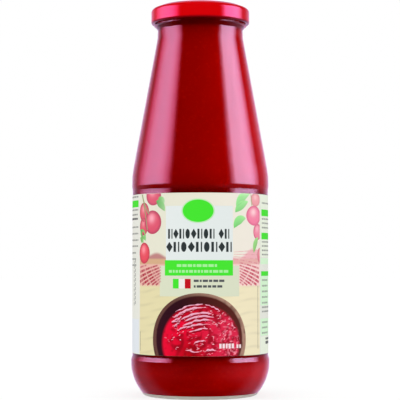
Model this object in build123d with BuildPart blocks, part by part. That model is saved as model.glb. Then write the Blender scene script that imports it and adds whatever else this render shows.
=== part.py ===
from build123d import *
import os
from math import acos, atan2, cos, degrees, hypot, radians, sin, sqrt, tan

# A bottle of passata: a round clear glass bottle, the sieved tomato in it, a twist-off
# metal cap and a paper label glued round it.
#
# Millimetres.  Everything is turned about Z.  The origin is in the middle of the ring that
# the bottle stands on, +Z is up, and the front of the label faces -Y.

# ---- glass body ----
body_radius = 39.75  # the widest ring, low on the bottle
heel_land = 1.2  # upright stretch above the widest ring
heel_radius = 28.0  # curve from the widest ring down to the foot
foot_round = 5.0  # between the heel and the standing ring
standing_ring = 5.0  # from the heel's sharp corner in to the edge of the punt
punt_height = 5.0  # how far the middle of the bottom is pushed up
punt_round = 1.2
panel_depth = 0.7  # how far the label's panel lies below the widest ring
panel_step = 2.2  # height of the sloping step at each end of the panel
step_round = 2.0
shoulder_inset = 0.35  # the shoulder ring is this much smaller than the widest ring
shoulder_land = 1.4  # upright stretch below the shoulder's curve
shoulder_radius = 52.0  # curve from the shoulder ring into the long cone
glass_wall = 2.4  # side wall of the body
base_thickness = 4.6  # glass in the middle of the bottom
floor_edge = 5.4  # height of the inside floor at the wall, before it is rounded
inner_heel = 13.0  # round inside the foot

# ---- neck and finish ----
bottle_height = 222.4  # up to the sealing rim
finish_radius = 25.2  # plain wall of the finish, under the cap
finish_wall = 3.1  # from that wall to the bore of the mouth
neck_inset = 0.6  # the neck is this much slimmer than the finish
neck_length = 4.1  # upright neck between the cone and the bead
neck_blend = 14.0  # hollow curve between the cone and the neck
bead_depth = 1.5  # the bead below the cap stands out this far from the finish
bead_height = 0.7
bead_slope = 51.0  # underside of the bead, degrees from level
bead_gap = 0.4  # from the bead up to the cap's rolled edge
bead_round = 0.4
bead_fillet = 1.6  # hollow curve between the neck and the bead
lip_round = 1.0  # both edges of the sealing rim
thread_count = 4
thread_depth = 1.2  # the screw ridges stand out this far from the finish
thread_height = 2.0
thread_root = 0.4  # the ridges are sunk this far into the finish
thread_round = 0.6
thread_arc = 62.0  # length of each ridge, degrees

# ---- cap ----
cap_wall = 0.45  # tinplate with its lacquer
cap_depth = 10.5  # from the top of the cap to its lower edge
cap_clearance = 1.6  # from the screw ridges to the inside of the skirt
slope_width = 5.4  # sloping shoulder between the top ring and the skirt
slope_height = 2.2
slope_round = 4.0  # where it leaves the top ring
skirt_round = 2.4  # where it turns down into the skirt
curl_radius = 1.2  # rolled lower edge
seal_depth = 1.95  # sealing compound under the top ring, down to the rim
seat_inset = 1.7  # the flat seat on the rim ends this far inside the bore
seat_overhang = 0.3  # ... and this far outside the finish
panel_drop = 0.8  # the middle of the cap lies this much lower than the top ring
panel_slope = 1.0  # width of the sloping step round it
button_radius = 9.0  # safety button, pulled down by the vacuum
button_drop = 0.4
button_slope = 1.2
lug_arc = 24.0  # length of each lug, degrees
lug_height = 1.2
lug_clearance = 0.4  # from the lugs to the finish
thread_clearance = 0.3  # from the lugs up to the screw ridges

# ---- label ----
label_bottom = 24.6
label_height = 90.25
label_seat = 1.5  # bare panel below the label
label_margin = 2.8  # bare panel above the label
paper = 0.1
lap_arc = 11.0  # glued overlap, degrees
lap_angle = 97.0  # middle of the overlap, degrees from +X towards +Y

# ---- passata ----
headspace = 5.9  # from the rim down to the passata

# ---- worked out from the sizes above ----
panel_radius = body_radius - panel_depth
panel_bottom = label_bottom - label_seat
panel_top = label_bottom + label_height + label_margin
heel_height = panel_bottom - panel_step - heel_land
foot_radius = body_radius - heel_radius + sqrt(heel_radius**2 - heel_height**2)
punt_radius = foot_radius - standing_ring
shoulder_ring = body_radius - shoulder_inset
shoulder_height = panel_top + panel_step + shoulder_land

cap_top = bottle_height + seal_depth + cap_wall
cap_bottom = cap_top - cap_depth
cap_radius = finish_radius + thread_depth + cap_clearance + cap_wall
mouth_radius = finish_radius - finish_wall
neck_radius = finish_radius - neck_inset
bead_radius = finish_radius + bead_depth
bead_top = cap_bottom - bead_gap
bead_edge = bead_top - bead_height
neck_top = bead_edge - (bead_radius - neck_radius) * tan(radians(bead_slope))
cone_top = neck_top - neck_length
lug_bottom = cap_bottom + curl_radius - lug_height / 2
thread_bottom = lug_bottom + lug_height + thread_clearance

inner_radius = panel_radius - glass_wall
fill_height = bottle_height - headspace


def cone_angle(ring, curve, neck):
    """Slope from the upright, in radians, of a cone that leaves a shoulder in a tangent.

    The shoulder's curve is centred at the height of its ring, and the cone ends on the
    neck's line at the cone's top, so it is the tangent from that point to the curve.
    """
    across = neck - (ring - curve)
    up = cone_top - shoulder_height
    return atan2(up, across) - acos(curve / hypot(across, up))


def radial_plane(angle):
    """Upright plane through Z whose x axis points out at an angle from +X, in degrees."""
    turn = radians(angle)
    return Plane(origin=(0, 0, 0), x_dir=(cos(turn), sin(turn), 0), z_dir=(sin(turn), -cos(turn), 0))


def cavity_section(top):
    """Half section of the inside of the glass, from its floor up to a height."""
    curve = shoulder_radius - glass_wall
    slope = cone_angle(inner_radius, curve, mouth_radius)
    with BuildSketch(Plane.XZ) as section:
        with BuildLine():
            floor = FilletPolyline(
                (0, punt_height + base_thickness),
                (inner_radius, floor_edge),
                (inner_radius, shoulder_height),
                radius=inner_heel,
            )
            shoulder = CenterArc((inner_radius - curve, shoulder_height), curve, 0, degrees(slope))
            cone = FilletPolyline(
                shoulder @ 1,
                (mouth_radius, cone_top),
                (mouth_radius, top),
                radius=neck_blend,
            )
            Polyline(cone @ 1, (0, top), floor @ 0)
        make_face()
    return section.sketch


def round_corner(section, across, up, radius):
    """Rounds the corner of the open sketch that lies nearest to a point."""
    corner = section.vertices().sort_by_distance((across, up, 0))[0]
    fillet(corner, radius)


# ---- bottle ----
# The outline runs from the middle of the punt, round the foot, over the widest ring, the
# label's panel and the shoulder, up the cone and over the bead to the sealing rim.
outer_slope = cone_angle(shoulder_ring, shoulder_radius, neck_radius)
with BuildPart() as bottle:
    with BuildSketch(Plane.XZ) as outline:
        with BuildLine():
            punt = TangentArc((0, punt_height), (punt_radius, 0), tangent=(1, 0))
            Line(punt @ 1, (foot_radius, 0))
            TangentArc((body_radius, heel_height), (foot_radius, 0), tangent=(0, -1))
            FilletPolyline(
                (body_radius, heel_height),
                (body_radius, panel_bottom - panel_step),
                (panel_radius, panel_bottom),
                (panel_radius, panel_top),
                (shoulder_ring, panel_top + panel_step),
                (shoulder_ring, shoulder_height),
                radius=step_round,
            )
            shoulder = CenterArc(
                (shoulder_ring - shoulder_radius, shoulder_height),
                shoulder_radius,
                0,
                degrees(outer_slope),
            )
            FilletPolyline(
                shoulder @ 1,
                (neck_radius, cone_top),
                (neck_radius, neck_top),
                (bead_radius, bead_edge),
                (bead_radius, bead_top),
                (finish_radius, bead_top),
                (finish_radius, bottle_height),
                (0, bottle_height),
                radius=[neck_blend, bead_fillet, bead_round, bead_round, 0, lip_round],
            )
            Line((0, bottle_height), (0, punt_height))
        make_face()
        round_corner(outline, foot_radius, 0, foot_round)
        round_corner(outline, punt_radius, 0, punt_round)
    revolve(axis=Axis.Z)
    revolve(cavity_section(bottle_height), axis=Axis.Z, mode=Mode.SUBTRACT)
    rim_edges = bottle.edges().filter_by(GeomType.CIRCLE).group_by(Axis.Z)[-1]
    fillet(rim_edges.sort_by(SortBy.RADIUS)[0], lip_round)

    # Short level ridges that the cap's lugs hook under.
    for ridge in range(thread_count):
        start = (ridge + 0.5) * 360 / thread_count - thread_arc / 2
        with BuildSketch(radial_plane(start)) as ridge_section:
            with Locations((finish_radius - thread_root, thread_bottom)):
                Rectangle(thread_root + thread_depth, thread_height, align=(Align.MIN, Align.MIN))
            fillet(ridge_section.vertices().group_by(Axis.X)[-1], thread_round)
        revolve(axis=Axis.Z, revolution_arc=thread_arc)
bottle.part.label = "bottle"

# ---- passata ----
# It fills the glass wall to wall, up to its level behind the cap's skirt.
with BuildPart() as passata:
    revolve(cavity_section(fill_height), axis=Axis.Z)
passata.part.label = "passata"

# ---- cap ----
# One pressed sheet: a sunken button and panel, the top ring, a sloping shoulder and an
# upright skirt, whose lower edge is rolled in and bent into lugs.  The sealing compound
# fills the ring from inside, down to the flat seat that rests on the rim.
slope = slope_height / slope_width
ring_radius = cap_radius - slope_width
slope_drop = cap_wall * hypot(1, slope)
seat_edge = finish_radius + seat_overhang
skirt_inside = cap_radius - cap_wall
slope_foot = cap_top - slope_drop - (skirt_inside - ring_radius) * slope
recess_radius = mouth_radius - seat_inset
panel_level = cap_top - panel_drop
button_level = panel_level - button_drop
skirt_end = cap_bottom + curl_radius
with BuildPart() as cap:
    with BuildSketch(Plane.XZ) as sheet:
        with BuildLine():
            outside = FilletPolyline(
                (0, button_level),
                (button_radius, button_level),
                (button_radius + button_slope, panel_level),
                (recess_radius - panel_slope, panel_level),
                (recess_radius, cap_top),
                (ring_radius, cap_top),
                (cap_radius, cap_top - slope_height),
                (cap_radius, skirt_end),
                radius=[cap_wall, cap_wall, cap_wall, cap_wall, slope_round, skirt_round],
            )
            inside = FilletPolyline(
                (0, button_level - cap_wall),
                (button_radius, button_level - cap_wall),
                (button_radius + button_slope, panel_level - cap_wall),
                (recess_radius - panel_slope, panel_level - cap_wall),
                (recess_radius, bottle_height),
                (seat_edge, bottle_height),
                (skirt_inside, slope_foot),
                (skirt_inside, skirt_end),
                radius=[cap_wall, cap_wall, cap_wall, cap_wall, 0, skirt_round - cap_wall],
            )
            Line(outside @ 0, inside @ 0)
            Line(outside @ 1, inside @ 1)
        make_face()
        with Locations((cap_radius - curl_radius, skirt_end)):
            Circle(curl_radius)
    revolve(axis=Axis.Z)

    lug_width = cap_radius - curl_radius - finish_radius - lug_clearance
    for lug in range(thread_count):
        start = (lug + 0.5) * 360 / thread_count - lug_arc / 2
        with BuildSketch(radial_plane(start)):
            with Locations((finish_radius + lug_clearance, lug_bottom)):
                Rectangle(lug_width, lug_height, align=(Align.MIN, Align.MIN))
        revolve(axis=Axis.Z, revolution_arc=lug_arc)
cap.part.label = "cap"

# ---- label ----
# Paper wrapped once round the panel, its end glued over its start at the back.
with BuildPart() as label:
    with BuildSketch(Plane.XZ):
        with Locations((panel_radius, label_bottom)):
            Rectangle(paper, label_height, align=(Align.MIN, Align.MIN))
    revolve(axis=Axis.Z)
    with BuildSketch(radial_plane(lap_angle - lap_arc / 2)):
        with Locations((panel_radius + paper, label_bottom)):
            Rectangle(paper, label_height, align=(Align.MIN, Align.MIN))
    revolve(axis=Axis.Z, revolution_arc=lap_arc)
label.part.label = "label"

os.makedirs("parts", exist_ok=True)
export_step(bottle.part, "parts/bottle.step")
export_step(passata.part, "parts/passata.step")
export_step(cap.part, "parts/cap.step")
export_step(label.part, "parts/label.step")
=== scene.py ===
# %% [markdown]
# # A bottle of passata
#
# The object is a tall bottle of clear glass, filled with sieved tomato, shut by a red twist-off
# cap and wrapped in a printed paper label.  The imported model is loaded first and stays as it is.
# Its boxes give the outer sizes, and four of the pieces below each take the place of one node.

from math import acos, atan2, ceil, cos, hypot, pi, radians, sin, sqrt, tan

import bpy
import numpy as np
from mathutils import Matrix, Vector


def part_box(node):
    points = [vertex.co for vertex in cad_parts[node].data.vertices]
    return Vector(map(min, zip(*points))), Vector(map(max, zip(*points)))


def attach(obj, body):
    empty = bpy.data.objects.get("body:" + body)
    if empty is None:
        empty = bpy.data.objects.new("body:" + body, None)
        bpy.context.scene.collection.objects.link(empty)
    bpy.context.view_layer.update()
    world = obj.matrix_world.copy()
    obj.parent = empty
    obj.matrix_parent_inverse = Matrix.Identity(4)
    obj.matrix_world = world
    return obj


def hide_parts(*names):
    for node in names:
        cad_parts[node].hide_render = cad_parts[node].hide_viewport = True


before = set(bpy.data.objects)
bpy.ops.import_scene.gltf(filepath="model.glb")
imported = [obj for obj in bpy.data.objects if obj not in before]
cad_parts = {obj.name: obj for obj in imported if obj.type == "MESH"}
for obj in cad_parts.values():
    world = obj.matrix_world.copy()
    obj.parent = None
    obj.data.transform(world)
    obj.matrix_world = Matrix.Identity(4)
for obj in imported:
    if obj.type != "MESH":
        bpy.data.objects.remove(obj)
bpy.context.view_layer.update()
scene = bpy.context.scene
mm = 0.001


def stand(name, data, unseen_by=()):
    """An object with a camera, lamp or mesh, put into the scene.  Some kinds of ray may miss it."""
    thing = bpy.data.objects.new(name, data)
    scene.collection.objects.link(thing)
    for kind in unseen_by:
        setattr(thing, "visible_" + kind, False)
    return thing


print("nodes:", sorted(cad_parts))

# %% [markdown]
# ## The camera
#
# The bottle is seen from the front, from a little under a metre, with the eye at about a third
# of its height.  From there the rim of the cap curves up and the foot curves down.  A long lens
# gives that calm view.  Its length follows from how wide a strip of the scene has to fill the
# picture at the bottle's axis.  The view transform is the plain one, so that a paper's or an
# ink's colour looks as bright as it is given.

# %% Camera
eye_across = -0.15 * mm
eye_distance = 850 * mm
eye_height = 75.5 * mm
eye_rise = radians(2.486)
picture_width = 231.5 * mm

camera_data = bpy.data.cameras.new("camera")
camera_data.lens = camera_data.sensor_width * eye_distance / cos(eye_rise) / picture_width
camera = stand("camera", camera_data)
camera.location = (eye_across, -eye_distance, eye_height)
camera.rotation_euler = (pi / 2 + eye_rise, 0, 0)
scene.camera = camera
scene.view_settings.view_transform = "Standard"
print("lens in mm:", round(camera_data.lens, 1))

# %% [markdown]
# ## Small helpers
#
# A hex colour such as `#D00000` is written for a screen, but light adds up on a linear scale, so
# one function turns the first into the second.  The next adds a shader node with its settings and
# links in one call, and the last four use it for the steps that come back most: arithmetic, a
# smooth rise, and a mix of two values or of two colours.

# %% Colours and nodes
def linear(hex_colour):
    """The red, green and blue of a hex colour on a linear scale, with full opacity.

    Each value from 0 to 1 is divided by 12.92 where it is small, and elsewhere it is raised to
    the power 2.4 after 0.055 is added and the sum is divided by 1.055.
    """
    screen = np.array([int(hex_colour[i : i + 2], 16) for i in (1, 3, 5)]) / 255
    light = np.where(screen <= 0.04045, screen / 12.92, ((screen + 0.055) / 1.055) ** 2.4)
    return (*light.tolist(), 1.0)


def add(tree, kind, inputs=None, **settings):
    """Adds a shader node.  An input's value is a plain value or the output that feeds it."""
    node = tree.nodes.new("ShaderNode" + kind)
    for name, value in settings.items():
        setattr(node, name, value)
    for name, value in (inputs or {}).items():
        if isinstance(value, bpy.types.NodeSocket):
            tree.links.new(value, node.inputs[name])
        else:
            node.inputs[name].default_value = value
    return node


def calc(tree, operation, *values):
    """One step of arithmetic on plain values or outputs: the output that holds the result."""
    return add(tree, "Math", dict(enumerate(values)), operation=operation).outputs[0]


def ease(tree, value, low, high, level=1.0):
    """Rises in an S curve from 0 at low to a level at high."""
    curve = {"Value": value, "From Min": low, "From Max": high, "To Max": level}
    return add(tree, "MapRange", curve, interpolation_type="SMOOTHSTEP").outputs["Result"]


def mix_values(tree, share, first, second):
    """first times (1 - share), plus second times share."""
    return add(tree, "Mix", {0: share, 2: first, 3: second}, data_type="FLOAT").outputs[0]


def mix_colours(tree, share, first, second, **settings):
    """The same for two colours, or another way of mixing them if the settings name one."""
    inputs = {0: share, 6: first, 7: second}
    return add(tree, "Mix", inputs, data_type="RGBA", **settings).outputs[2]


# %% [markdown]
# ## The light tent
#
# A studio lights a bottle in a tent of white cloth, with black cards in front so that the glass
# stays dark and deep where it faces the camera.  A world shader can give each kind of ray its own
# tent.  The camera sees plain white, and matt surfaces are lit evenly from all round.  Light that
# reaches the pulp through the glass comes from the sides and a little from below.  A ray that
# has met nothing matt yet is a look straight through clear glass, which shows a light grey.
# Gloss mirrors the dark cards in front, a dim cloth behind, a bright one straight behind that
# lights the rim, and a little of the table, all with a pink cast.  The world is never sampled as
# a lamp, because then gloss would mix the tents.

# %% World
matt_level = 0.92
through_middle, through_sides, through_tilt = 0.02, 4.7, 0.95
through_below = 0.1
seen_level = 0.72
gloss_back, gloss_rim, gloss_table = 0.2, 0.55, 0.18
gloss_tint = (1.2, 0.85, 1.32, 1)

world = bpy.data.worlds.new("light_tent")
world.use_nodes = True
world.cycles.sampling_method = "NONE"
scene.world = world
tree = world.node_tree
ray = add(tree, "LightPath").outputs
way = add(tree, "TexCoord").outputs["Generated"]
across, along, upward = add(tree, "SeparateXYZ", {"Vector": way}).outputs
sideways = calc(tree, "MULTIPLY", across, across)
through = calc(tree, "MULTIPLY_ADD", across, through_sides, through_tilt)
through = calc(tree, "MULTIPLY_ADD", through, across, through_middle)
through = calc(tree, "ADD", through, ease(tree, upward, 0.0, -0.7, through_below))
straight = calc(tree, "LESS_THAN", ray["Diffuse Depth"], 0.5)
through = mix_values(tree, straight, through, seen_level)
below = ease(tree, upward, 0.02, -0.2)
not_under = ease(tree, upward, -0.8, -0.4, gloss_table)
near_table = calc(tree, "MULTIPLY", below, not_under)
table_side = calc(tree, "MULTIPLY", sideways, calc(tree, "MULTIPLY_ADD", across, 0.4, 0.6))
table = calc(tree, "MULTIPLY", table_side, near_table)
cloth = ease(tree, along, -0.1, 0.4, gloss_back)
behind = calc(tree, "MULTIPLY", cloth, ease(tree, upward, 0.4, 0.15))
behind = calc(tree, "ADD", behind, ease(tree, along, 0.6, 0.98, gloss_rim))
mirrored = calc(tree, "ADD", table, behind)
is_gloss = calc(tree, "MULTIPLY", ray["Is Glossy Ray"], ray["Is Reflection Ray"])
level = mix_values(tree, ray["Is Transmission Ray"], matt_level, through)
level = mix_values(tree, is_gloss, level, mirrored)
level = mix_values(tree, ray["Is Camera Ray"], level, 1.0)
tint = mix_colours(tree, is_gloss, (1, 1, 1, 1), gloss_tint)
tree.links.new(tint, tree.nodes["Background"].inputs["Color"])
tree.links.new(level, tree.nodes["Background"].inputs["Strength"])

# %% [markdown]
# ## Two tall soft boxes
#
# One soft box stands at each side.  Their mirror images are the two long pale streaks on the
# glass and the cap.  An area lamp can show itself only to gloss, so the streaks get their own
# brightness and tint and the paper's colours stay true.  The cloth of a soft box fades to its
# edges, and a lamp's shader can do that with the place on the lamp, which runs from 0 to 1.

# %% Soft boxes
box_distance = 1.0
box_azimuth = 88
box_half_angle = 46
box_width = 2 * box_distance * tan(radians(box_half_angle))
box_low, box_high = 0.02, 1.2
low_fade, high_fade = 0.15, 0.45


def soft_box(name, side, brightness, fade):
    """A standing area lamp that faces the bottle, on one side (-1 or 1) of the camera.

    A lamp's power is its brightness times pi times its area.  Each row of the fade holds an
    azimuth, in degrees from the camera's side, the share of the brightness seen there, and how
    many times as strong red and blue are as green.
    """
    data = bpy.data.lights.new(name, "AREA")
    data.shape = "RECTANGLE"
    data.size = box_width
    data.size_y = box_high - box_low
    data.energy = brightness * pi * data.size * data.size_y
    data.use_nodes = True
    tree = data.node_tree
    place = add(tree, "NewGeometry").outputs["Parametric"]
    beside, above, _ = add(tree, "SeparateXYZ", {"Vector": place}).outputs
    ramp = add(tree, "ValToRGB", {"Fac": beside})
    for stop in ramp.color_ramp.elements:
        stop.color = (0, 0, 0, 1)
    for azimuth, share, red, blue in fade:
        off = tan(radians(azimuth - box_azimuth)) / tan(radians(box_half_angle))
        stop = ramp.color_ramp.elements.new(0.5 + 0.5 * off * side)
        stop.color = (share * red, share, share * blue, 1)
    foot = ease(tree, above, 0, low_fade)
    ends = calc(tree, "MULTIPLY", foot, ease(tree, above, 1, 1 - high_fade))
    tree.links.new(ramp.outputs["Color"], tree.nodes["Emission"].inputs["Color"])
    tree.links.new(ends, tree.nodes["Emission"].inputs["Strength"])
    lamp = stand(name, data, ("camera", "diffuse", "transmission"))
    turn = radians(box_azimuth * side)
    lamp.location = (box_distance * sin(turn), -box_distance * cos(turn), (box_low + box_high) / 2)
    lamp.rotation_euler = (pi / 2, 0, turn)


left_fade = [
    (46, 0.00, 1.0, 1.0),
    (50, 0.04, 8.0, 2.3),
    (53, 0.16, 7.0, 2.3),
    (59, 0.46, 4.3, 2.1),
    (66, 0.80, 3.1, 1.9),
    (74, 0.97, 2.55, 1.8),
    (82, 0.94, 2.3, 1.8),
    (92, 0.80, 2.4, 1.8),
    (102, 0.58, 2.7, 1.85),
    (113, 0.23, 4.2, 2.1),
    (124, 0.04, 8.0, 2.4),
    (132, 0.00, 1.0, 1.0),
]
right_fade = [
    (45, 0.00, 1.0, 1.0),
    (50, 0.02, 4.0, 1.7),
    (56, 0.32, 2.4, 1.7),
    (62, 0.98, 1.65, 1.6),
    (72, 1.05, 1.5, 1.6),
    (88, 1.02, 1.5, 1.6),
    (97, 0.78, 1.6, 1.7),
    (107, 0.30, 2.2, 1.8),
    (116, 0.00, 1.0, 1.0),
]
soft_box("soft_box_left", -1, 3.95, left_fade)
soft_box("soft_box_right", 1, 5.8, right_fade)

# %% [markdown]
# A sun lamp as wide as an overhead cloth adds to the table's light and lays a soft shadow round
# the foot.

# %% Top light
top_data = bpy.data.lights.new("top_cloth", "SUN")
top_data.energy = 0.6
top_data.angle = radians(100)
top_light = stand("top_cloth", top_data, ("glossy", "transmission"))
top_light.rotation_euler = (radians(15), radians(-10), 0)


# %% [markdown]
# ## Finishes
#
# Every finish is a Principled shader.  Its values start from the real material and are then set
# one by one.  One function makes the material and sets its sockets; what varies over the surface
# is added with nodes afterwards.

# %% Materials
def finish(name, **sockets):
    """A material with these values on its Principled shader: the material, its tree, the shader."""
    material = bpy.data.materials.new(name)
    material.use_nodes = True
    shader = material.node_tree.nodes["Principled BSDF"]
    for socket, value in sockets.items():
        shader.inputs[socket.replace("_", " ")].default_value = value
    return material, material.node_tree, shader


def grain(tree, place, size, detail):
    """Noise from 0 to 1 over the object, with its grain size in millimetres."""
    settings = {"Vector": place, "Scale": 1 / (size * mm), "Detail": detail}
    return add(tree, "TexNoise", settings).outputs["Fac"]


def relief(tree, shader, size, height, detail=2.0):
    """Fine uneven relief from noise, with its grain size and its height in millimetres."""
    noise = grain(tree, add(tree, "TexCoord").outputs["Object"], size, detail)
    bump = add(tree, "Bump", {"Height": noise, "Distance": height * mm, "Strength": 1.0})
    tree.links.new(bump.outputs["Normal"], shader.inputs["Normal"])


# %% [markdown]
# ## The floor
#
# The bottle stands on a light table: a sheet of opal plastic that glows by itself and also sends
# back some of the light that falls on it.  Together they come to just about white, so only the
# soft shadow round the foot shows.  The tent that gloss sees has its own dim table, so the sheet
# stays out of gloss and out of what is seen through glass.

# %% Floor
floor_reach = 6.0
table_sheet, sheet_tree, sheet_shader = finish(
    "white_light_table",
    Base_Color=(0.25, 0.25, 0.25, 1),
    Roughness=0.9,
    Specular_IOR_Level=0.0,
    Emission_Color=(1, 1, 1, 1),
    Emission_Strength=0.75,
)
relief(sheet_tree, sheet_shader, size=1.0, height=0.01)
floor_mesh = bpy.data.meshes.new("floor")
sides = ((-1, -1), (1, -1), (1, 1), (-1, 1))
floor_corners = [(x * floor_reach, y * floor_reach, 0) for x, y in sides]
floor_mesh.from_pydata(floor_corners, [], [(0, 1, 2, 3)])
floor_mesh.materials.append(table_sheet)
floor = stand("floor", floor_mesh, ("glossy", "transmission"))
print("floor reaches", floor_reach, "m each way")

# %% [markdown]
# ## Turned shapes
#
# The bottle, its contents and its cap are all turned about one upright axis, so each is a
# half outline carried round a circle.  The outline is made of straight runs and arcs.  A small
# grid of rings and columns then holds every point, and numpy works them all out at once.

# %% Outlines and turning
corner_step = 6.0


def arc(centre, radius, start, end, step):
    """Points on a circle, from one angle to another in degrees, at most step degrees apart."""
    count = max(2, ceil(abs(end - start) / step) + 1)
    angle = np.radians(np.linspace(start, end, count))
    return np.stack([centre[0] + radius * np.cos(angle), centre[1] + radius * np.sin(angle)], 1)


def rounded(corners, spacing=2.0):
    """Straight runs whose corners are arcs.  Each corner is (radius from the axis, height, arc).

    An arc meets both runs in a tangent: it starts and ends at its radius times the tangent of
    half the turn from the corner, and its centre lies on the inner side of the turn.
    """
    points = [np.array([corners[0][:2]], float)]
    for before, corner, after in zip(corners, corners[1:], corners[2:]):
        here = np.array(corner[:2], float)
        come = here - before[:2]
        go = np.array(after[:2]) - here
        come = come / hypot(*come)
        go = go / hypot(*go)
        turn = atan2(come[0] * go[1] - come[1] * go[0], come @ go)
        if corner[2] == 0:
            points.append(here[None])
            continue
        start = here - come * corner[2] * tan(abs(turn) / 2)
        side = np.array([-come[1], come[0]]) * (1 if turn > 0 else -1)
        centre = start + side * corner[2]
        first = np.degrees(atan2(*(start - centre)[::-1]))
        points.append(arc(centre, corner[2], first, first + np.degrees(turn), corner_step))
    points.append(np.array([corners[-1][:2]], float))
    filled = [points[0]]
    for piece in points[1:]:
        gap = piece[0] - filled[-1][-1]
        count = ceil(hypot(*gap) / spacing)
        share = np.linspace(0, 1, count + 1)[1:-1, None]
        filled += [filled[-1][-1] + share * gap, piece]
    return np.vstack([piece for piece in filled if len(piece)])


def quads(rows, columns, closed, ring=False):
    """The corners of every face of a grid of points.  A closed grid joins its last column to its
    first, and a ring joins its last row to its first as well."""
    row, column = np.mgrid[0 : rows if ring else rows - 1, 0 : columns if closed else columns - 1]
    above, beside = (row + 1) % rows, (column + 1) % columns
    corners = ((row, column), (row, beside), (above, beside), (above, column))
    return np.stack([up * columns + over for up, over in corners], -1).reshape(-1, 4)


def around(radius, height, angles):
    """Points about the upright axis: radius times the cosine and the sine of the angle, height."""
    height = np.broadcast_to(height, radius.shape)
    return np.stack([radius * np.cos(angles), radius * np.sin(angles), height], -1).reshape(-1, 3)


def make_piece(name, points, faces, material, sharp=35):
    """A mesh object from points in millimetres and a list of faces, smooth but for sharp edges."""
    mesh = bpy.data.meshes.new(name)
    mesh.from_pydata((points * mm).tolist(), [], [face.tolist() for face in faces])
    mesh.polygons.foreach_set("use_smooth", np.ones(len(mesh.polygons), bool))
    if sharp:
        mesh.set_sharp_from_angle(angle=radians(sharp))
    mesh.materials.append(material)
    piece = stand(name, mesh)
    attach(piece, "root")
    print(name, len(mesh.vertices), "points", len(mesh.polygons), "faces")
    return piece


def turned(name, outline, angles, material, push=None):
    """A closed solid of revolution.  The outline starts and ends on the axis, and each of its
    points goes round all the angles; push, in millimetres, moves points out from the axis."""
    rings = outline[1:-1]
    radius = np.repeat(rings[:, :1], len(angles), 1)
    if push is not None:
        radius = radius + push(rings[:, :1], rings[:, 1:], angles[None])
    poles = [(0, 0, outline[0, 1]), (0, 0, outline[-1, 1])]
    points = np.vstack([around(radius, rings[:, 1:], angles), poles])
    side = quads(len(rings), len(angles), True)
    column = np.arange(len(angles))
    beside = (column + 1) % len(angles)
    last = (len(rings) - 1) * len(angles)
    first_fan = np.stack([np.full_like(column, len(points) - 2), beside, column], 1)
    last_fan = np.stack([np.full_like(column, len(points) - 1), last + column, last + beside], 1)
    faces = [*side, *first_fan, *last_fan]
    return make_piece(name, points, faces, material)


# %% [markdown]
# ## The glass
#
# Soda-lime glass is pressed and blown in a mould.  It is clear with a faint green cast, its skin
# is fire polished and so smooth, with slow waves where it cooled against the mould, and two thin
# seams stand where the mould's halves met.  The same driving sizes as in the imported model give
# its outline.  Only the screw ridges under the cap are left out, because nobody sees them.

# %% Bottle sizes, in millimetres
bottle_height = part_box("bottle")[1].z / mm
body_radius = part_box("bottle")[1].x / mm
heel_radius, heel_height = 28.0, 19.7
foot_round = 5.0
punt_radius, punt_height, punt_round = 26.65, 5.0, 1.2
panel_depth = 0.7
panel_step = 2.2
step_round = 2.0
label_low, label_high = (corner.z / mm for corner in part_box("label"))
panel_bottom = label_low - 1.5
panel_top = label_high + 2.8
shoulder_inset = 0.35
shoulder_height = panel_top + panel_step + 1.4
shoulder_curve = 52.0
neck_radius = 24.6
neck_blend = 14.0
cone_top = 206.51
bead_radius, bead_edge, bead_top = 26.7, 213.2, 213.9
neck_top = bead_edge - (bead_radius - neck_radius) * tan(radians(51))
finish_radius = 25.2
mouth_radius = 22.1
lip = 1.0
wall = 2.4
panel_radius = body_radius - panel_depth
inner_radius = panel_radius - wall
floor_middle, floor_edge, inner_heel = 9.6, 5.4, 13.0


def cone_slope(ring, curve, neck):
    """The cone's slope from the upright: the tangent from the neck's line, at the cone's top, to
    the shoulder's curve, which is centred at the height of its ring."""
    over = neck - (ring - curve)
    rise = cone_top - shoulder_height
    return atan2(rise, over) - acos(curve / hypot(over, rise))


def shoulder_corner(ring, curve, neck):
    """Where the upright of the ring and the cone's line would cross."""
    return shoulder_height + curve * tan(cone_slope(ring, curve, neck) / 2)


def cavity(reach):
    """The inside of the glass from the middle of its floor to the mouth, moved into the glass
    by reach."""
    ring = inner_radius + reach
    curve = shoulder_curve - wall + reach
    neck = mouth_radius + reach
    return [
        (0, floor_middle - reach, 0),
        (ring, floor_edge - reach, inner_heel),
        (ring, shoulder_corner(ring, curve, neck), curve),
        (neck, cone_top, neck_blend),
    ]


# %% The bottle's outline
dome = (punt_radius**2 + punt_height**2) / (2 * punt_height)
dome_middle = punt_height - dome
round_across = sqrt((dome + punt_round) ** 2 - (punt_round - dome_middle) ** 2)
round_start = np.degrees(atan2(dome_middle - punt_round, -round_across))
dome_end = np.degrees(atan2(punt_round - dome_middle, round_across))
heel_middle = body_radius - heel_radius
foot_across = heel_middle + sqrt((heel_radius - foot_round) ** 2 - (heel_height - foot_round) ** 2)
foot_end = np.degrees(atan2(foot_round - heel_height, foot_across - heel_middle))
shoulder_ring = body_radius - shoulder_inset

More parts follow.
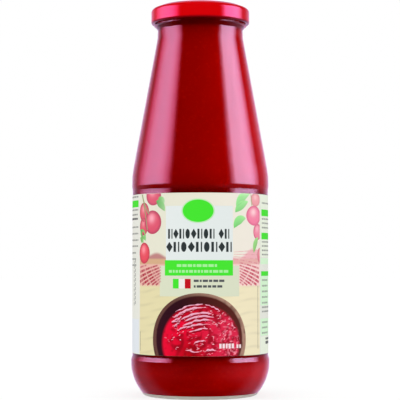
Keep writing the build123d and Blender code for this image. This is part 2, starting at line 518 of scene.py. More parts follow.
upper_corners = [
    (body_radius, heel_height, 0),
    (body_radius, panel_bottom - panel_step, step_round),
    (panel_radius, panel_bottom, step_round),
    (panel_radius, panel_top, step_round),
    (shoulder_ring, panel_top + panel_step, step_round),
    (shoulder_ring, shoulder_corner(shoulder_ring, shoulder_curve, neck_radius), shoulder_curve),
    (neck_radius, cone_top, neck_blend),
    (neck_radius, neck_top + 0.4, 0.6),
    (bead_radius - 1.25, bead_edge - 1.2, 0.3),
    (bead_radius - 0.95, bead_edge - 0.5, 0.2),
    (bead_radius, bead_edge, 0.2),
    (bead_radius, bead_top, 0.4),
    (finish_radius, bead_top, 0),
    (finish_radius, bottle_height, lip),
    (mouth_radius, bottle_height, lip),
    *cavity(0)[:0:-1],
    cavity(0)[0],
]
glass_outline = np.vstack(
    [
        arc((0, dome_middle), dome, 90, dome_end, 1.5),
        arc((round_across, punt_round), punt_round, round_start, -90, 12)[1:],
        arc((foot_across, foot_round), foot_round, -90, foot_end, 5),
        arc((heel_middle, heel_height), heel_radius, foot_end, 0, 3)[1:-1],
        rounded(upper_corners),
    ]
)
glass_outline[0, 0] = 0
print("glass outline:", len(glass_outline), "points, up to", glass_outline[:, 1].max().round(1))

# %% [markdown]
# The seams are part of the glass, so they move its points instead of being laid on it.  The
# angles are even, with a few more beside each seam to keep it thin.

# %% Glass mesh
seam_angles = np.radians([0, 180])
seam_height, seam_width = 0.12, 0.3
wall_heights = [0, 30, 120, 206, 213]
wall_middles = [28, 38.5, 38.5, 23.5, 24.9]
panel_margin, seam_low, seam_gap = 4, 7, 3
beside_seam = np.radians([-0.6, -0.3, 0.3, 0.6])
even_angles = np.linspace(0, 2 * pi, 256, endpoint=False)
glass_angles = np.unique(
    np.concatenate([even_angles, (seam_angles[:, None] + beside_seam[None]).ravel() % (2 * pi)])
)


def glass_relief(radius, height, angle):
    """How far the glass stands out: a bell-shaped ridge at two angles, only on the outer skin,
    which is farther out than the middle of the wall, and never past the widest ring."""
    outside = radius > np.interp(height, wall_heights, wall_middles)
    bare = (height < panel_bottom - panel_margin) | (height > panel_top + panel_margin)
    seam_zone = outside & bare & (height > seam_low) & (height < bead_edge - seam_gap)
    seam = np.zeros(np.broadcast(radius, angle).shape)
    for middle in seam_angles:
        away = (angle - middle + pi) % (2 * pi) - pi
        seam = seam + np.exp(-((away * radius / seam_width) ** 2))
    return np.minimum(seam_height * seam * seam_zone, np.maximum(body_radius - radius, 0))


glass, glass_tree, glass_shader = finish(
    "clear_soda_lime_glass",
    Base_Color=linear("#F7FBF8"),
    Roughness=0.015,
    IOR=1.52,
    Transmission_Weight=1.0,
)
relief(glass_tree, glass_shader, size=22, height=0.05, detail=1.0)
bottle = turned("glass_bottle", glass_outline, glass_angles, glass, glass_relief)
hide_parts("bottle")

# %% [markdown]
# The foot stands on a ring of fine upright ribs, which the mould stipples.  They scatter the
# light that comes up through the table, so the ring looks like pale ground glass.

# %% Foot ring
rib_count, rib_height = 100, 0.22
ring_start, ring_end = -82, -36
ring_stand, ring_swell, ring_inside = 0.02, 0.06, 0.96
ring_steps = np.linspace(0, 1, 9)
ring_angles = np.linspace(0, 2 * pi, 800, endpoint=False)

ring_rise = np.sin(pi * ring_steps)
outer_reach = foot_round + ring_stand + ring_swell * ring_rise
inner_reach = np.full_like(ring_rise, foot_round * ring_inside)
ring_reach = np.concatenate([outer_reach, inner_reach])[:, None]
ring_turn = np.radians(ring_start + ring_steps * (ring_end - ring_start))
ring_turn = np.concatenate([ring_turn, ring_turn[::-1]])[:, None]
rib_out = rib_height * np.concatenate([ring_rise, 0 * ring_rise])[:, None]
ribs = rib_out * np.maximum(np.cos(rib_count * ring_angles), 0) ** 2
foot_ring = around(
    foot_across + ring_reach * np.cos(ring_turn) + ribs,
    foot_round + ring_reach * np.sin(ring_turn),
    ring_angles,
)
ring_faces = quads(len(ring_reach), len(ring_angles), True, ring=True)
ribbed_glass, ribbed_tree, ribbed_shader = finish(
    "ribbed_ground_glass",
    Base_Color=linear("#D6D4C6"),
    Roughness=0.45,
    IOR=1.52,
    Transmission_Weight=0.35,
)
relief(ribbed_tree, ribbed_shader, size=0.5, height=0.02)
make_piece("foot_ring", foot_ring, ring_faces, ribbed_glass)

# %% [markdown]
# ## The passata
#
# Sieved tomato is a thick wet pulp, pressed against the glass all round.  Nothing lies between
# them, so this piece reaches a little way into the wall and hides the inner face of the glass.
# Light soaks into it, which makes it matt, and the pulp shows as fine specks over slow clouds.
# Light comes in only through bare glass and spreads, so the pulp's colour is painted darker
# beside the label's edges and under the cap, and a little near the foot: painted shade.

# %% Passata
fill_reach = 0.15
fill_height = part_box("passata")[1].z / mm
fill_rim = mouth_radius + fill_reach
sauce_corners = [*cavity(fill_reach), (fill_rim, fill_height, 0), (0, fill_height, 0)]
sauce_outline = rounded(sauce_corners, spacing=3.0)

tomato = {"Roughness": 0.65, "Specular_IOR_Level": 0.0, "IOR": 1.35}
pulp, pulp_tree, pulp_shader = finish("sieved_tomato", **tomato)
place = add(pulp_tree, "TexCoord").outputs["Object"]
clouds = grain(pulp_tree, place, 26, 2.0)
specks = grain(pulp_tree, place, 1.6, 3.0)
pulp_colour = mix_colours(pulp_tree, clouds, linear("#9C0000"), linear("#B00400"))
speck_range = {"Value": specks, "From Min": 0.55, "From Max": 0.75, "To Max": 0.5}
speck_share = add(pulp_tree, "MapRange", speck_range).outputs["Result"]
pulp_colour = mix_colours(pulp_tree, speck_share, pulp_colour, linear("#C01804"))
# Painted shade: each row is a height in millimetres and how much of the pulp's colour is left there.
painted_pulp_shade = [
    (7.0, 0.98),
    (10.5, 0.88),
    (14.0, 0.97),
    (18.0, 0.85),
    (21.5, 0.64),
    (label_low, 0.34),
    (label_high, 0.45),
    (label_high + 3.0, 0.62),
    (label_high + 5.5, 0.86),
    (label_high + 12.0, 1.0),
    (cone_top - 8.0, 1.0),
    (cone_top - 1.0, 0.88),
    (cone_top + 2.5, 0.82),
    (cone_top + 4.5, 0.55),
    (cone_top + 6.0, 0.36),
]
height = add(pulp_tree, "SeparateXYZ", {"Vector": place}).outputs["Z"]
level = calc(pulp_tree, "DIVIDE", height, fill_height * mm)
shade = add(pulp_tree, "ValToRGB", {"Fac": level})
shade.color_ramp.elements.remove(shade.color_ramp.elements[1])
for stop_height, share in painted_pulp_shade:
    stop = shade.color_ramp.elements.new(stop_height / fill_height)
    stop.color = (share, share, share, 1)
shade.color_ramp.elements.remove(shade.color_ramp.elements[0])
painted_shade_colour = shade.outputs["Color"]
pulp_colour = mix_colours(pulp_tree, 1.0, pulp_colour, painted_shade_colour, blend_type="MULTIPLY")
pulp_tree.links.new(pulp_colour, pulp_shader.inputs["Base Color"])
sauce_angles = np.linspace(0, 2 * pi, 240, endpoint=False)
sauce = turned("passata_fill", sauce_outline, sauce_angles, pulp)
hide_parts("passata")

# %% [markdown]
# ## The cap
#
# A twist-off cap is pressed from thin tinplate, lacquered on the flat sheet before it is drawn.
# As in the imported model, the sheet is shown about twice as thick as it is.  Its lower edge is
# rolled into a curl, and at four places the curl is squeezed inwards to make the lugs.  The
# lacquer is hard, smooth and glossy, over a solid red.  Where the curl is rolled under, the red is
# painted darker towards its lower edge: painted shade.

# %% Cap
cap_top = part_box("cap")[1].z / mm
cap_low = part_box("cap")[0].z / mm
cap_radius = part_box("cap")[1].x / mm
sheet = 0.45
curl = 1.2
slope_width, slope_height = 5.4, 2.2
ring_radius = cap_radius - slope_width
recess_radius = mouth_radius - 1.7
panel_level = cap_top - 0.8
button_radius, button_slope = 9.0, 1.2
button_level = panel_level - 0.4
skirt_end = cap_low + curl
slope = slope_height / slope_width
slope_drop = sheet * hypot(1, slope)
seat_edge = finish_radius + 0.3
slope_foot = cap_top - slope_drop - (cap_radius - sheet - ring_radius) * slope



def middle_panel(drop):
    """The sunken button and the panel round it, from the axis out, moved down by drop."""
    return [
        (0, button_level - drop, 0),
        (button_radius, button_level - drop, sheet),
        (button_radius + button_slope, panel_level - drop, sheet),
        (recess_radius - 1, panel_level - drop, sheet),
    ]


under_corners = [
    *middle_panel(sheet),
    (recess_radius, bottle_height, 0),
    (seat_edge, bottle_height, 0),
    (cap_radius - sheet, slope_foot, 2.4 - sheet),
    (cap_radius - sheet, skirt_end + curl * 0.8, 0),
]
over_corners = [
    (cap_radius, skirt_end, 0),
    (cap_radius, cap_top - slope_height, 2.4),
    (ring_radius, cap_top, 4.0),
    (recess_radius, cap_top, sheet),
    *middle_panel(0)[::-1],
]
curl_start = np.degrees(atan2(curl * 0.8, curl - sheet))
cap_outline = np.vstack(
    [
        rounded(under_corners),
        arc((cap_radius - curl, skirt_end), curl, curl_start, 360, 15)[1:-1],
        rounded(over_corners),
    ]
)
lug_count, lug_half, lug_depth, lug_end = 4, radians(12), 1.2, 1.6


def lugs(radius, height, angle):
    """How far the curl is squeezed in, only on its inner half: a smooth hump at each lug, whole
    up to 0.6 times the lug's half angle and gone at 1.6 times."""
    turn = (angle * lug_count / (2 * pi)) % 1 - 0.5
    hump = np.clip(lug_end - np.abs(turn) * 2 * pi / lug_count / lug_half, 0, 1)
    hump = hump * hump * (3 - 2 * hump)
    inner = np.clip((cap_radius - curl - radius) / curl, 0, 1) * (height < skirt_end + curl)
    return -lug_depth * hump * inner


lacquer, lacquer_tree, lacquer_shader = finish(
    "red_lacquered_tinplate",
    Roughness=0.09,
    Specular_IOR_Level=0.64,
    Specular_Tint=(1.0, 0.38, 0.72, 1.0),
)
place = add(lacquer_tree, "TexCoord").outputs["Object"]
height = add(lacquer_tree, "SeparateXYZ", {"Vector": place}).outputs["Z"]
# Painted shade: the red darkens to #6C0006 towards the curl's lower edge, where the curl turns under.
curl_shade_share = ease(lacquer_tree, height, (cap_low + 0.2) * mm, (cap_low + 1.8) * mm)
red_colour = mix_colours(lacquer_tree, curl_shade_share, linear("#6C0006"), linear("#D60003"))
lacquer_tree.links.new(red_colour, lacquer_shader.inputs["Base Color"])
relief(lacquer_tree, lacquer_shader, size=1.4, height=0.003, detail=1.0)
cap_angles = np.linspace(0, 2 * pi, 360, endpoint=False)
cap = turned("twist_off_cap", cap_outline, cap_angles, lacquer, lugs)
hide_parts("cap")

# %% [markdown]
# ## The label's paper
#
# The label is a strip of coated paper, a tenth of a millimetre thick, wound once round and glued
# over its own start at the back.  Its section is carried along that path, which climbs by one
# thickness where the end lies on the start.

# %% Label paper
paper = 0.1
paper_radius = -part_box("label")[0].x / mm
glue_gap = 0.01
lap_middle = radians(97)
lap = radians(11)
lap_start = lap_middle - lap / 2
lift_over = radians(1.5)
film_gap = 0.002
turns = np.linspace(0, 2 * pi + lap, 371)
climb = np.clip((turns - (2 * pi - lift_over)) / lift_over, 0, 1)
middle_radius = paper_radius - paper / 2 + (paper + film_gap) * climb * climb * (3 - 2 * climb)
inside_radius = middle_radius - paper / 2 + glue_gap
outside_radius = middle_radius + paper / 2 - film_gap
section_radius = np.stack([inside_radius, inside_radius, outside_radius, outside_radius], 1)
section_height = np.array([label_high, label_low, label_low, label_high])
paper_points = around(section_radius, section_height, (lap_start + turns)[:, None])
paper_faces = quads(len(turns), 4, True)
ends = [np.array([0, 3, 2, 1]), np.array([0, 1, 2, 3]) + 4 * (len(turns) - 1)]


def paper_finish(name, colour=None):
    """Coated label paper, printed or plain: half matt, with a fine felt of fibres.

    The fibres are about 0.2 mm across, and are drawn three times as coarse so that they show.
    Without a colour the material reads the ink held by the mesh itself.
    """
    material, tree, shader = finish(name, Roughness=0.6, Specular_IOR_Level=0.04)
    if colour:
        shader.inputs["Base Color"].default_value = linear(colour)
    else:
        ink = add(tree, "Attribute", attribute_name="ink")
        tree.links.new(ink.outputs["Color"], shader.inputs["Base Color"])
    relief(tree, shader, size=0.6, height=0.004)
    return material


coated = paper_finish("coated_paper", "#E2E4DA")
label = make_piece("label_paper", paper_points, [*paper_faces, *ends], coated)
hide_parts("label")

# %% [markdown]
# ## Printing on a curved label
#
# The print is laid out flat, in millimetres across from the middle of the front and up from the
# artwork's foot, and then wrapped on the cylinder.  Labels are printed a little too large and cut
# to size, so the artwork's foot lies just below the paper's.  A field is a small grid of points: a
# bar, an oval, a leaf or a ribbon.  The fields are films in layers, each about a hundredth of a
# millimetre above the one below, so every edge stays sharp however close one looks.

# %% Flat shapes
finest = 1.0
bleed = 0.7
cut_margin, pressed = 0.15, 0.99
art_top = bleed + label_high - label_low
front_left, front_right = -41.3, 40.2
ground, underlay, middle_layer, overlay, top_layer = 0.012, 0.026, 0.040, 0.054, 0.066


def bar(left, bottom, right, top, rows=2):
    """A straight-sided field, with its columns at most a millimetre apart."""
    columns = np.linspace(left, right, max(2, ceil((right - left) / finest) + 1))
    return np.stack(np.meshgrid(columns, np.linspace(bottom, top, rows)), -1)


def oval(across, up, half_width, half_height, cells=12):
    """A square grid drawn into an oval: (a, b) goes to a times the root of 1 - b²/2, and b times
    the root of 1 - a²/2."""
    a, b = np.meshgrid(np.linspace(-1, 1, cells + 1), np.linspace(-1, 1, cells + 1))
    flat = np.stack([a * np.sqrt(1 - b * b / 2), b * np.sqrt(1 - a * a / 2)], -1)
    return flat * (half_width, half_height) + (across, up)


def trimmed(field):
    """What would stand beyond the picture's upper or right edge is pressed flat against it."""
    beyond = np.maximum(field - (front_right, art_top - cut_margin), 0)
    return field - pressed * beyond


def bend(start, middle, end, count):
    """A smooth bend: points on the parabola that starts and ends at two points and leans
    towards a third."""
    t = np.linspace(0, 1, count)[:, None]
    return (1 - t) ** 2 * start + 2 * t * (1 - t) * np.array(middle) + t * t * np.array(end)


def ribbon(path, width):
    """A strip along a path: two rows of points, half a width to each side of it."""
    path = np.array(path, float)
    along = np.gradient(path, axis=0)
    along /= np.linalg.norm(along, axis=1, keepdims=True)
    side = np.stack([-along[:, 1], along[:, 0]], 1) * np.reshape(width, (-1, 1)) / 2
    return np.stack([path - side, path + side], 0)


def leaf(start, middle, end, width, cells=10):
    """A leaf along a bend: its width is the sine of the way along, and a trace at the tips."""
    path = bend(start, middle, end, cells + 1)
    swell = np.sin(pi * np.linspace(0, 1, cells + 1)) ** 0.8 + 0.03
    return ribbon(path, width * swell)


# %% Printing
def wrap(flat, lift):
    """Flat places on the cylinder: across becomes an angle from the front, up a height."""
    foot = label_low - bleed
    angle = flat[..., 0] / paper_radius
    radius = paper_radius + lift
    return np.stack([radius * np.sin(angle), -radius * np.cos(angle), foot + flat[..., 1]], -1)


def printed(name, fields, lift, colour=None, inks=None):
    """Joins flat fields into one film on the paper, in one colour or in inks: those hold a linear
    colour for each point."""
    points, faces, count = [], [], 0
    for field in fields:
        rows, columns = field.shape[:2]
        points.append(wrap(field, lift).reshape(-1, 3))
        faces.append(quads(rows, columns, False) + count)
        count += rows * columns
    ink = paper_finish("ink_" + name, colour)
    points, faces = np.vstack(points), np.vstack(faces)
    piece = make_piece("print_" + name, points, faces, ink, sharp=None)
    if inks is not None:
        colours = np.vstack([np.reshape(ink, (-1, 3)) for ink in inks])
        colours = np.hstack([colours, np.ones((count, 1))])
        attribute = piece.data.attributes.new("ink", "FLOAT_COLOR", "POINT")
        attribute.data.foreach_set("color", colours.astype(np.float32).ravel())


def rgb(colour):
    """The linear red, green and blue of a hex colour; an array of colours stays as it is."""
    return np.array(linear(colour)[:3]) if isinstance(colour, str) else colour


def blend(below, above, share):
    """Goes from one colour to another by a share at each point."""
    share = np.clip(share, 0, 1)[..., None]
    return rgb(below) * (1 - share) + rgb(above) * share


def smooth(value, low, high):
    """0 below low, 1 above high, and an S curve between them."""
    t = np.clip((value - low) / (high - low), 0, 1)
    return t * t * (3 - 2 * t)


# %% [markdown]
# ## The picture on the front
#
# Behind everything lies a landscape: a cream sky, low hills, ploughed fields and a pale table top.
# It is a soft picture, so its colours are worked out point by point, from u across and v up: bands
# that blend into each other, with a little grain in the wood.

# %% Landscape
hill_up, field_up, earth_up, table_up = 56.0, 54.4, 51.4, 39.4
land_columns = np.linspace(front_left, front_right, 182)
land_rows = np.linspace(bleed, art_top, 204)
land = np.stack(np.meshgrid(land_columns, land_rows), -1)
u, v = land[..., 0], land[..., 1]
sky_ink = blend("#E2E2CE", "#EDE7DA", smooth(u, -30, 30))
hill_line = hill_up + 1.3 * np.sin(u / 5.2 + 0.8) + 0.7 * np.sin(u / 2.3) + smooth(u, 20, 31) * 2.5
hill_ink = blend("#BC8480", "#EDB4BA", smooth(u, -20, 20))
land_ink = blend(sky_ink, hill_ink, smooth(hill_line - v, -0.8, 1.2))
tan_ink = blend("#D2AC86", "#E5AFA9", smooth(u, -20, 20))
land_ink = blend(land_ink, tan_ink, smooth(field_up - v, -0.5, 0.5))
earth_ink = blend("#E6B6A8", "#F6D2CE", smooth(u, -20, 24))
land_ink = blend(land_ink, earth_ink, smooth(earth_up - v, -0.4, 0.4))
wood_ink = blend("#E1D9AB", "#EEE4C0", smooth(u, -20, 24))
wood_grain = np.sin(v * 1.3 + 2.6 * np.sin(u / 8.0 + 0.4)) * np.sin(v * 0.37 + u / 13) * 0.5 + 0.5
wood_ink = wood_ink * (1 - 0.11 * wood_grain[..., None] ** 4)
land_ink = blend(land_ink, wood_ink, smooth(table_up - v, -0.8, 0.8))
printed("landscape", [land], ground, inks=[land_ink])

# %% [markdown]
# The ploughed rows run towards one far point on the horizon, so they fan out and widen as they
# come nearer.  Each is a ribbon on a straight line through that point, seen between the panel
# and the picture's edge.  On the right they climb the hill, where they are paler and finer.

# %% Ploughed rows
far_up, field_low = 57.0, 39.8
row_count, row_points, fall_step = 12, 60, 0.066
upper_panel_edge, lower_panel_edge, panel_change = 19.4, 23.2, 0.2
flattest = 0.1
field_sides = (
    (-1, -front_left - 0.3, 0.18, 50.8, "#A82238", "#E8BCB0"),
    (1, front_right - 1.0, -0.06, 58.0, "#C44C60", "#F6D0CC"),
)
row_fields, row_inks = [], []
for side, reach, first, field_high, near_colour, pale_colour in field_sides:
    for step in range(row_count):
        fall = first + fall_step * step
        outer = min(reach, (far_up - field_low) / max(fall, flattest))
        panel_edge = upper_panel_edge if fall < panel_change else lower_panel_edge
        inner = max(panel_edge, (far_up - field_high) / max(fall, flattest))
        if outer - inner < 2:
            continue
        away = np.linspace(inner, outer, row_points)
        path = np.stack([side * away, far_up - away * fall], 1)[::side]
        near = smooth(fall, 0.05, 0.3)
        width = ((0.012 + 0.026 * near) * away)[::side]
        row_fields.append(ribbon(path, width))
        row_ink = blend("#E09AA0", near_colour, near * smooth(away, 12, 32))
        clumps = 0.5 + 0.5 * np.sin(away * 2.1 + step * 2.3) * np.sin(away * 0.9 + step)
        row_ink = blend(row_ink, pale_colour, 0.75 * clumps**2)[::side]
        row_inks.append(np.broadcast_to(row_ink, (2, row_points, 3)))
printed("ploughed_rows", row_fields, underlay, inks=row_inks)

# %% [markdown]
# ## Tomatoes and leaves
#
# Tomatoes on the vine hang down both sides.  Each is an oval that goes from a light spot,
# up and to one side, through its body colour to a darker edge.  The pile stands in three films:
# the fruit behind, the fruit in front, and the leaves with their stems.

# %% Fruit
def fruit(across, up, half_width, half_height, body, shine, edge):
    """An oval and its ink: a bell-shaped light spot on the body colour, dark near the edge."""
    field = oval(across, up, half_width, half_height, 18)
    a = (field[..., 0] - across) / half_width
    b = (field[..., 1] - up) / half_height
    glow = np.exp(-((a + 0.1) ** 2 + (b - 0.35) ** 2) / 0.16)
    ink = blend(body, shine, glow)
    ink = blend(ink, edge, 0.8 * smooth(np.hypot(a, b), 0.65, 1.0))
    return trimmed(field), ink


behind = [
    fruit(-36.8, 80.6, 4.6, 5.4, "#DC5E70", "#F09AA2", "#B64C60"),
    fruit(-37.2, 72.6, 4.0, 5.0, "#DC5A6C", "#EE909A", "#B04860"),
    fruit(36.0, 87.6, 4.4, 3.8, "#EFA0A8", "#F6C4C6", "#D88E92"),
    fruit(37.8, 69.6, 4.0, 4.6, "#EE8AA2", "#FAB4C4", "#C8607C"),
    fruit(40.2, 56.4, 2.6, 4.2, "#E58090", "#F0A4AC", "#C86A78"),
]
ahead = [
    fruit(-28.8, 89.6, 5.7, 5.4, "#DC5C74", "#F5A4B0", "#B05068"),
    fruit(-29.4, 74.8, 6.4, 6.6, "#DC566E", "#FCACBA", "#AC4660"),
    fruit(-36.6, 57.6, 5.0, 5.9, "#E44E5C", "#FE949E", "#B83C50"),
    fruit(34.4, 78.6, 6.4, 5.6, "#F284A4", "#FECFD5", "#DC6C8E"),
]
for name, lift, pile in (("behind", underlay, behind), ("ahead", middle_layer, ahead)):
    fields, inks = zip(*pile)
    printed("fruit_" + name, fields, lift, inks=inks)

# %% Leaves and stems
leaf_marks = [
    (-26.5, 86.5, -23.4, 86.2, -20.6, 80.8, 4.0, "#5FB45C", "#A0D094"),
    (-25.0, 88.0, -22.5, 88.5, -20.8, 85.6, 2.6, "#6CBF63", "#B4DCA8"),
    (-40.6, 70.5, -38.0, 69.5, -35.2, 64.6, 4.4, "#5AB858", "#8ED082"),
    (-40.8, 66.0, -39.0, 66.2, -37.4, 63.2, 2.6, "#6CBF63", "#8ED082"),
    (21.0, 83.4, 24.0, 90.0, 30.6, 90.6, 4.6, "#8FE08A", "#B6EFAC"),
    (20.4, 80.2, 23.4, 84.6, 29.4, 86.4, 4.4, "#86DA80", "#A8EA9E"),
    (22.6, 88.2, 25.4, 90.4, 29.6, 90.4, 2.0, "#A0EA93", "#C2F2B8"),
    (19.6, 71.4, 22.0, 77.6, 27.6, 76.8, 4.6, "#7CD878", "#A6E99C"),
    (34.2, 57.8, 35.0, 64.0, 38.4, 66.4, 3.4, "#8ACC72", "#A2DC8E"),
]
stem_marks = [
    (-38.6, 90.6, -36.6, 84.0, -32.2, 79.6, 0.9, "#93A06C", "#A1A078"),
    (-37.2, 86.0, -35.4, 80.0, -33.6, 70.6, 0.7, "#93A06C", "#A1A078"),
    (-39.6, 63.6, -38.2, 66.4, -38.8, 69.6, 0.6, "#7E9A5E", "#93A06C"),
    (31.8, 90.4, 32.0, 87.0, 32.6, 84.2, 0.7, "#C4A890", "#B6B487"),
]
leaf_fields, leaf_inks = [], []
half_shades = np.array([0.86, 1.1])[:, None, None]
for marks, widened in ((leaf_marks, True), (stem_marks, False)):
    for x0, y0, x1, y1, x2, y2, width, base, tip in marks:
        line = ((x0, y0), (x1, y1), (x2, y2))
        shape = leaf(*line, width) if widened else ribbon(bend(*line, 11), width)
        leaf_fields.append(trimmed(shape))
        leaf_ink = blend(base, tip, np.linspace(0, 1, shape.shape[1]))
        leaf_inks.append(leaf_ink[None] * half_shades)
printed("leaves", leaf_fields, overlay, inks=leaf_inks)

# %% [markdown]
# ## The bowl
#
# A wooden bowl of passata stands on the table top, cut off by the label's lower edge.  Its rim
# is an oval of brown wood, lit from the right.  Inside come a dark wall and the wet red sauce,
# which lies a little lower and to the right, with dark and light lumps of pulp in it.

# %% Bowl
def lumps(across, up, size):
    """Soft lumps of a size in millimetres: draws from 0 to 1 on a square grid, and between them
    the sum of the four nearest, each times how near it is across and up."""
    draws = chance.random((lump_cells + 1, lump_cells + 1))
    column, row = (across + 40) / size, (up + 10) / size
    left = np.floor(column).astype(int) % lump_cells
    below = np.floor(row).astype(int) % lump_cells
    x, y = column % 1, row % 1
    low = draws[below, left] * (1 - x) + draws[below, left + 1] * x
    high = draws[below + 1, left] * (1 - x) + draws[below + 1, left + 1] * x
    return low * (1 - y) + high * y


bowl_across, bowl_up, bowl_reach, bowl_rise = -0.7, 9.5, 28.2, 26.0
sauce_across, sauce_up, sauce_reach, sauce_rise = 0.4, 8.0, 23.1, 21.6
bowl_low = bleed + 0.02
lump_cells = 79
bowl_rows, bowl_columns = 96, 141
chance = np.random.default_rng(12)
bowl_turn = np.linspace(-0.49, 0.49, bowl_columns) * pi
bowl_half = bowl_rise * np.cos(bowl_turn)
bowl_bottom = np.maximum(bowl_up - bowl_half, bowl_low)
bowl_share = np.linspace(0, 1, bowl_rows)[:, None]
bowl_u = np.broadcast_to(bowl_across + bowl_reach * np.sin(bowl_turn), (bowl_rows, bowl_columns))
bowl = np.stack([bowl_u, bowl_bottom + bowl_share * (bowl_up + bowl_half - bowl_bottom)], -1)
u, v = bowl[..., 0], bowl[..., 1]
out = np.hypot((u - bowl_across) / bowl_reach, (v - bowl_up) / bowl_rise)
wet = np.hypot((u - sauce_across) / sauce_reach, (v - sauce_up) / sauce_rise)
lit = smooth(u + 0.2 * (v - bowl_up), -14, 24)
bowl_ink = blend("#624038", "#A88270", lit)
bowl_ink = blend(bowl_ink, "#B08A74", 0.5 * smooth(out, 0.965, 0.99) * lit)
bowl_ink = blend(bowl_ink, "#3A2018", 0.55 * smooth(lumps(u, v, 1.8), 0.55, 0.95))
dark_wall = blend("#2C0A16", "#542018", lit)
rim_edge = 0.925 + 0.035 * np.clip((v - bowl_up) / bowl_rise, 0, 1)
bowl_ink = blend(bowl_ink, dark_wall, smooth(rim_edge - out, 0, 0.035))
red = blend("#EA0432", "#DA2448", smooth(u, -12, 16))
deep = np.exp(-(((u + 5) / 9) ** 2 + ((v - 3) / 8) ** 2)) + 0.6 * np.exp(-((v - 26) / 4) ** 2)
red = blend(red, "#B2000E", deep)
pulp_dark = lumps(u, v, 1.5) * smooth(u, -38, -8)
red = blend(red, "#8A0010", smooth(pulp_dark, 0.36, 0.80) * 0.8)
pulp_light = lumps(u, v, 0.9) * smooth(u, -14, 18)
red = blend(red, "#F68AA2", smooth(pulp_light, 0.58, 0.92) * 0.8)
bowl_ink = blend(bowl_ink, red, smooth(1 - wet, -0.02, 0.08))
printed("bowl", [bowl], middle_layer, inks=[bowl_ink])

# %% [markdown]
# The gloss is drawn as light strokes along the spoon's swirl, each with its own dark hollow just
# below it.  A stroke wanders and swells a little by seeded draws, as wet pulp is never smooth.
# Many short flecks lie round them, set out by the same draws.

# %% Gloss on the sauce
strokes = [
    ((-14.2, 25.0), (-7.0, 29.2), (1.6, 29.4), 0.8),
    ((-12.6, 23.6), (-6.0, 27.8), (3.4, 27.6), 1.0),
    ((2.6, 29.2), (7.0, 28.6), (11.0, 25.4), 0.6),
    ((-15.8, 22.2), (-10.4, 23.8), (-7.6, 26.0), 0.9),
    ((-10.8, 20.6), (-3.0, 25.8), (6.4, 24.2), 0.9),
    ((-8.8, 19.6), (-2.0, 23.8), (7.6, 22.4), 0.8),
    ((-16.4, 19.4), (-12.4, 20.8), (-10.6, 22.8), 1.0),
    ((-14.8, 17.2), (-12.4, 18.8), (-11.2, 20.6), 1.0),
    ((-9.8, 17.6), (-2.0, 21.4), (7.0, 20.2), 0.8),
    ((-8.0, 16.0), (-2.0, 19.4), (5.8, 18.4), 0.7),
    ((-13.2, 14.8), (-9.6, 17.2), (-2.4, 17.4), 0.8),
    ((-6.4, 13.8), (-1.0, 16.4), (4.2, 16.2), 0.6),
    ((-3.6, 7.6), (-0.4, 9.8), (3.0, 9.2), 0.5),
    ((-8.4, 4.6), (-4.0, 2.6), (0.6, 3.4), 0.5),
    ((2.4, 3.2), (5.0, 4.8), (9.0, 4.0), 0.8),
]
gloss_fields, gloss_inks = [], []
stroke_points, width_draws, wander_draws = 33, 12, 8
along_stroke = np.linspace(0, 1, stroke_points)
for start, middle, end, width in strokes:
    widths = chance.uniform(0.25, 1.9, width_draws)
    uneven = np.interp(along_stroke, np.linspace(0, 1, width_draws), widths)
    offsets = chance.normal(0, 0.22, wander_draws)
    wander = np.interp(along_stroke, np.linspace(0, 1, wander_draws), offsets)
    swell = width * uneven * np.sin(pi * along_stroke) ** 0.6 + 0.05
    for aside, colour in ((-0.85, "#98081E"), (0.0, "#F0ACC6")):
        path = bend(start, middle, end, stroke_points)
        path[:, 1] += wander + aside
        field = ribbon(path, swell)
        gloss_fields.append(field)
        gloss_inks.append(np.broadcast_to(rgb(colour), field.shape[:2] + (3,)))
fleck_count = 330
for fleck in range(fleck_count):
    reach = sqrt(chance.random()) * 0.93
    turn = chance.uniform(-pi, pi)
    fleck_across = sauce_across + reach * sauce_reach * cos(turn)
    middle = np.array([fleck_across, sauce_up + reach * sauce_rise * sin(turn)])
    lean = chance.normal(0.1, 0.6)
    half = np.array([cos(lean), sin(lean)]) * chance.uniform(0.3, 1.1)
    width = chance.uniform(0.25, 0.6)
    pale = chance.uniform(0.0, 1.0)
    right_share = (fleck_across - sauce_across) / sauce_reach
    cut_off = middle[1] - abs(half[1]) - width < bowl_low
    if cut_off or chance.random() > 0.66 + 0.6 * right_share:
        continue
    field = leaf(middle - half, middle + (0, width / 2), middle + half, width, cells=4)
    gloss_fields.append(field)
    ink = blend("#E04464", "#FAC0D0", np.array(pale * pale))
    gloss_inks.append(np.broadcast_to(ink, field.shape[:2] + (3,)))
printed("gloss", gloss_fields, overlay, inks=gloss_inks)

# %% [markdown]
# ## Fields of plain colour
#
# Over the picture lie two pale panels for the lines of print, a green band, a plain oval badge and
# three small chips.  The side columns have cream, pale green and pale blue grounds.  Each ink is
# one film with one plain colour.

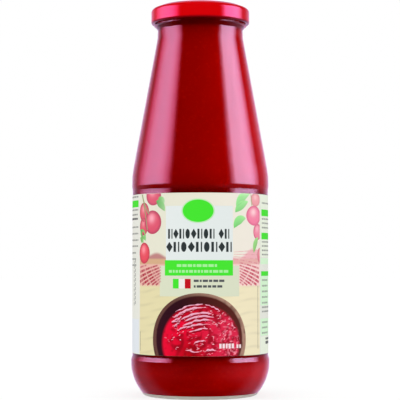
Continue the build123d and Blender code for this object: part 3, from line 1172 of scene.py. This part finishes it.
# %% Panels, band, badge and chips
badge = (-1.2, 80.9)
chip_low, chip_high = 38.0, 43.3
green_bars = [bar(-20.5, 45.1, 18.8, 53.6), bar(-15.5, chip_low, -12.1, chip_high)]
green_bars += [bar(-66.0, 83.8, -43.2, 87.6), bar(42.4, 78.7, 72.0, 82.4)]
green_bars += [bar(42.4, 65.5, 72.0, 69.2), bar(42.0, 44.8, 74.0, 47.4)]
pale_bars = [bar(41.2, low, 74.0, high) for low, high in ((28.1, 44.8), (11.0, 20.7), (51.4, 54.8))]
plain_fields = {
    "pale_grey": (underlay, "#E1E8E6", [bar(-19.9, 50.5, 18.8, 83.7)]),
    "pale_straw": (underlay + 0.002, "#D7DDC3", [bar(-23.9, 33.6, 22.9, 50.6)]),
    "halo": (middle_layer, "#BFE8B6", [oval(*badge, 9.3, 6.8, 24)]),
    "green": (overlay, "#44E330", [*green_bars, oval(*badge, 8.6, 6.2, 24)]),
    "red": (middle_layer, "#C10E1E", [bar(-8.6, chip_low, -5.3, chip_high)]),
    "white": (middle_layer, "#EDE8E6", [bar(-12.1, chip_low, -8.6, chip_high)]),
    "pale_green": (ground, "#D2F2CE", pale_bars),
    "pale_blue": (ground, "#DDE4E8", [bar(-70.0, 1.3, -42.6, 20.4)]),
    "cream": (ground - 0.002, "#E6EEDC", [bar(41.2, 55.5, 110.0, 90.6), bar(41.2, 1.0, 110.0, 10.4)]),
}
for name, (lift, colour, fields) in plain_fields.items():
    printed(name, fields, lift, colour)

# %% [markdown]
# ## Lines of print without words
#
# Where the pack has its title and its small print, this label has rows of plain shapes: the rhythm
# of printed words, with nothing to read.  The title is two rows of bars, ovals and lozenges.  Small
# print is rows of dashes of uneven length, set out by the seeded draw.

# %% Title
def lozenge(left, bottom, right, top):
    """A bar that narrows evenly to nearly nothing at its foot and at its top."""
    field = bar(left, bottom, right, top, rows=3)
    middle = (left + right) / 2
    field[::2, :, 0] = middle + (field[::2, :, 0] - middle) / 20
    return field


def title_row(left, right, bottom, top, cells):
    """Plain shapes in a row: i stands for two upright bars, o for an oval, v for a lozenge and a
    space for a gap."""
    space = 0.55
    pitch = (right - left) / sum(space if cell == " " else 1 for cell in cells)
    fields, here = [], left
    for cell in cells:
        if cell == "i":
            fields.append(bar(here, bottom, here + 0.34 * pitch, top))
            fields.append(bar(here + 0.62 * pitch, bottom, here + 0.8 * pitch, top))
        if cell == "o":
            centre = (here + 0.4 * pitch, (bottom + top) / 2)
            fields.append(oval(*centre, 0.36 * pitch, (top - bottom) / 2))
        if cell == "v":
            fields.append(lozenge(here - 0.06 * pitch, bottom, here + 0.86 * pitch, top))
        here += space * pitch if cell == " " else pitch
    return fields


title = title_row(-18.5, 17.2, 65.5, 70.9, "iviovioi vi")
title += title_row(-19.4, 18.9, 58.2, 63.7, "viovioivi")
printed("title", title, overlay, "#2E3738")

# %% Small print
def dashes(left, right, up, tall, longest=3.4):
    """A row of dashes with small gaps, from left to right, its foot at a height."""
    fields, here = [], left
    while here < right - shortest:
        length = min(chance.uniform(1.0, longest), right - here)
        fields.append(bar(here, up, here + length, up + tall))
        here += length + dash_gap
    return fields


dash_gap, shortest = 0.55, 0.8
band_lines = dashes(-13.2, 10.6, 49.9, 1.5) + dashes(-18.0, 16.2, 46.7, 1.5)
printed("band_lines", band_lines, top_layer, "#A6F09C")
net_mark = dashes(10.6, 19.4, 5.0, 2.6, 2.0) + dashes(21.0, 24.0, 5.0, 2.0, 1.6)
printed("net_mark", net_mark, top_layer, "#F2DCE0")
dark_lines = dashes(-3.6, 13.9, 41.6, 1.3) + dashes(-3.6, 13.3, 38.5, 1.3)
dark_lines += dashes(-62.0, -43.4, 76.6, 1.1)
dark_lines += [bar(37.9, 4.1, 38.2, 39.4), bar(-40.8, 2.8, -40.5, 13.6)]
dark_lines += dashes(48.6, 70.0, 6.2, 1.6) + dashes(48.6, 64.0, 8.6, 1.2)
printed("dark_lines", dark_lines, middle_layer, "#54585A")

grey_lines = []
line_height = 0.9
columns_of_print = (
    (-66.0, -43.4, (89.2, 81.8, 79.1, 72.0, 68.3, 64.6, 61.2)),
    (-66.0, -46.6, (57.4, 53.9, 50.4)),
    (-98.0, -72.0, (86.4, 83.9, 80.2, 77.0, 73.6, 70.4, 64.0, 60.8, 57.6, 54.4, 48.0, 44.8, 41.6)),
    (43.0, 72.0, (85.6, 76.6, 74.2, 71.7, 63.6, 61.3, 58.8, 56.4, 26.6, 24.2)),
    (80.0, 106.0, (86.4, 83.9, 81.4, 76.6, 74.2, 71.7, 66.4, 63.6, 58.8, 56.4, 8.6, 6.0, 3.4)),
)
for left, right, heights in columns_of_print:
    for up in heights:
        grey_lines += dashes(left, right, up, line_height)
for up in (41.9, 38.7, 35.5, 32.3, 29.1, 18.1, 15.1, 12.1):
    grey_lines += dashes(43.0, 54.0, up, 1.0, 2.0) + dashes(64.0, 72.0, up, 1.0, 2.0)
upright = np.arange(28.0, 52.0, 2.6)
grey_lines += [bar(-51.0, up, -49.9, up + 1.7) for up in upright]
grey_lines += [bar(-48.6, up + 0.8, -47.5, up + 2.7) for up in upright]
printed("grey_lines", grey_lines, underlay, "#9A9E98")
